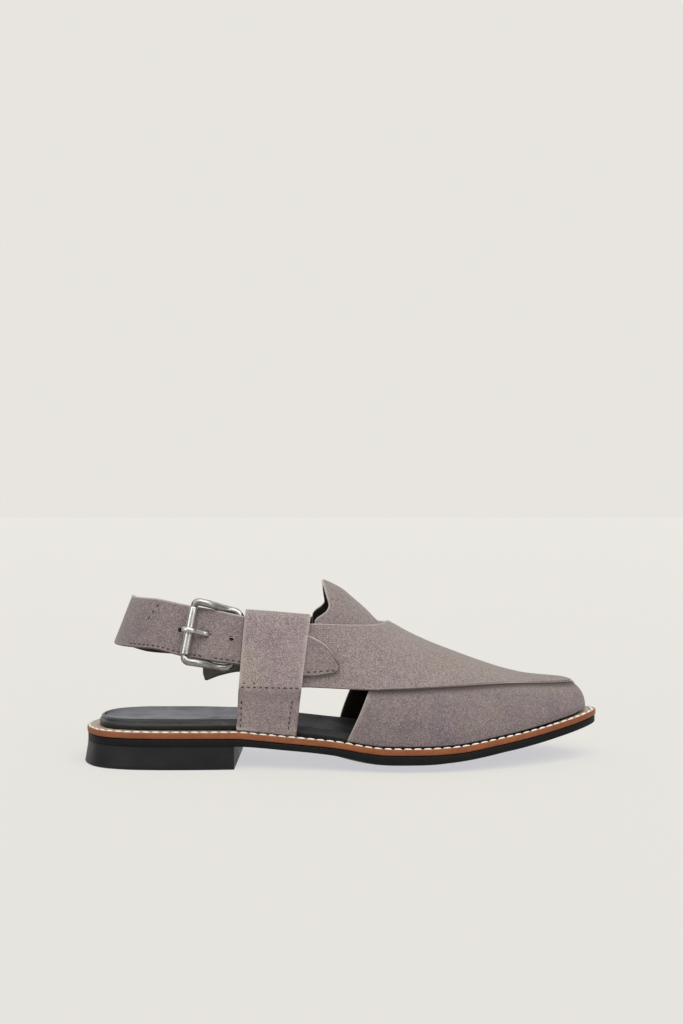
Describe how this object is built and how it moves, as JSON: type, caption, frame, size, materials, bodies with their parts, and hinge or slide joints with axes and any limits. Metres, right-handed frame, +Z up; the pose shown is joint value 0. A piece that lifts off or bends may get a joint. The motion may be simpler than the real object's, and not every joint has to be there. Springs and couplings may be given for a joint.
{
  "type": "peshawari chappal",
  "caption": "Open-heeled strap shoe: crossed suede straps over a closed toe, a peaked tongue, side loops, a buckled heel strap, a padded footbed, a stitched welt and a rubber sole",
  "frame": {"origin": "On the floor at the middle of the heel block's length, on its flat tread", "axes": "+X to the toe, +Y to the inner (medial) side of the right foot, +Z up"},
  "size_m": [0.2934, 0.0932, 0.1028],
  "materials": {
    "rubber": "satin black moulded rubber",
    "welt_leather": "tan edge-finished leather with cream stitching",
    "lining_leather": "black smooth leather",
    "suede": "grey-taupe suede with a fine nap",
    "metal": "polished antique nickel",
    "thread": "waxed cream thread"
  },
  "bodies": {
    "root": {"outsole": "rubber", "heel": "rubber", "welt": "welt_leather", "footbed": "lining_leather", "upper": "suede", "tongue": "suede", "loop_lateral": "suede", "loop_medial": "suede", "heel_strap": "suede", "buckle_chape": "suede", "buckle_frame": "metal", "buckle_roller": "metal", "buckle_prong": "metal"}
  },
  "joints": []
}
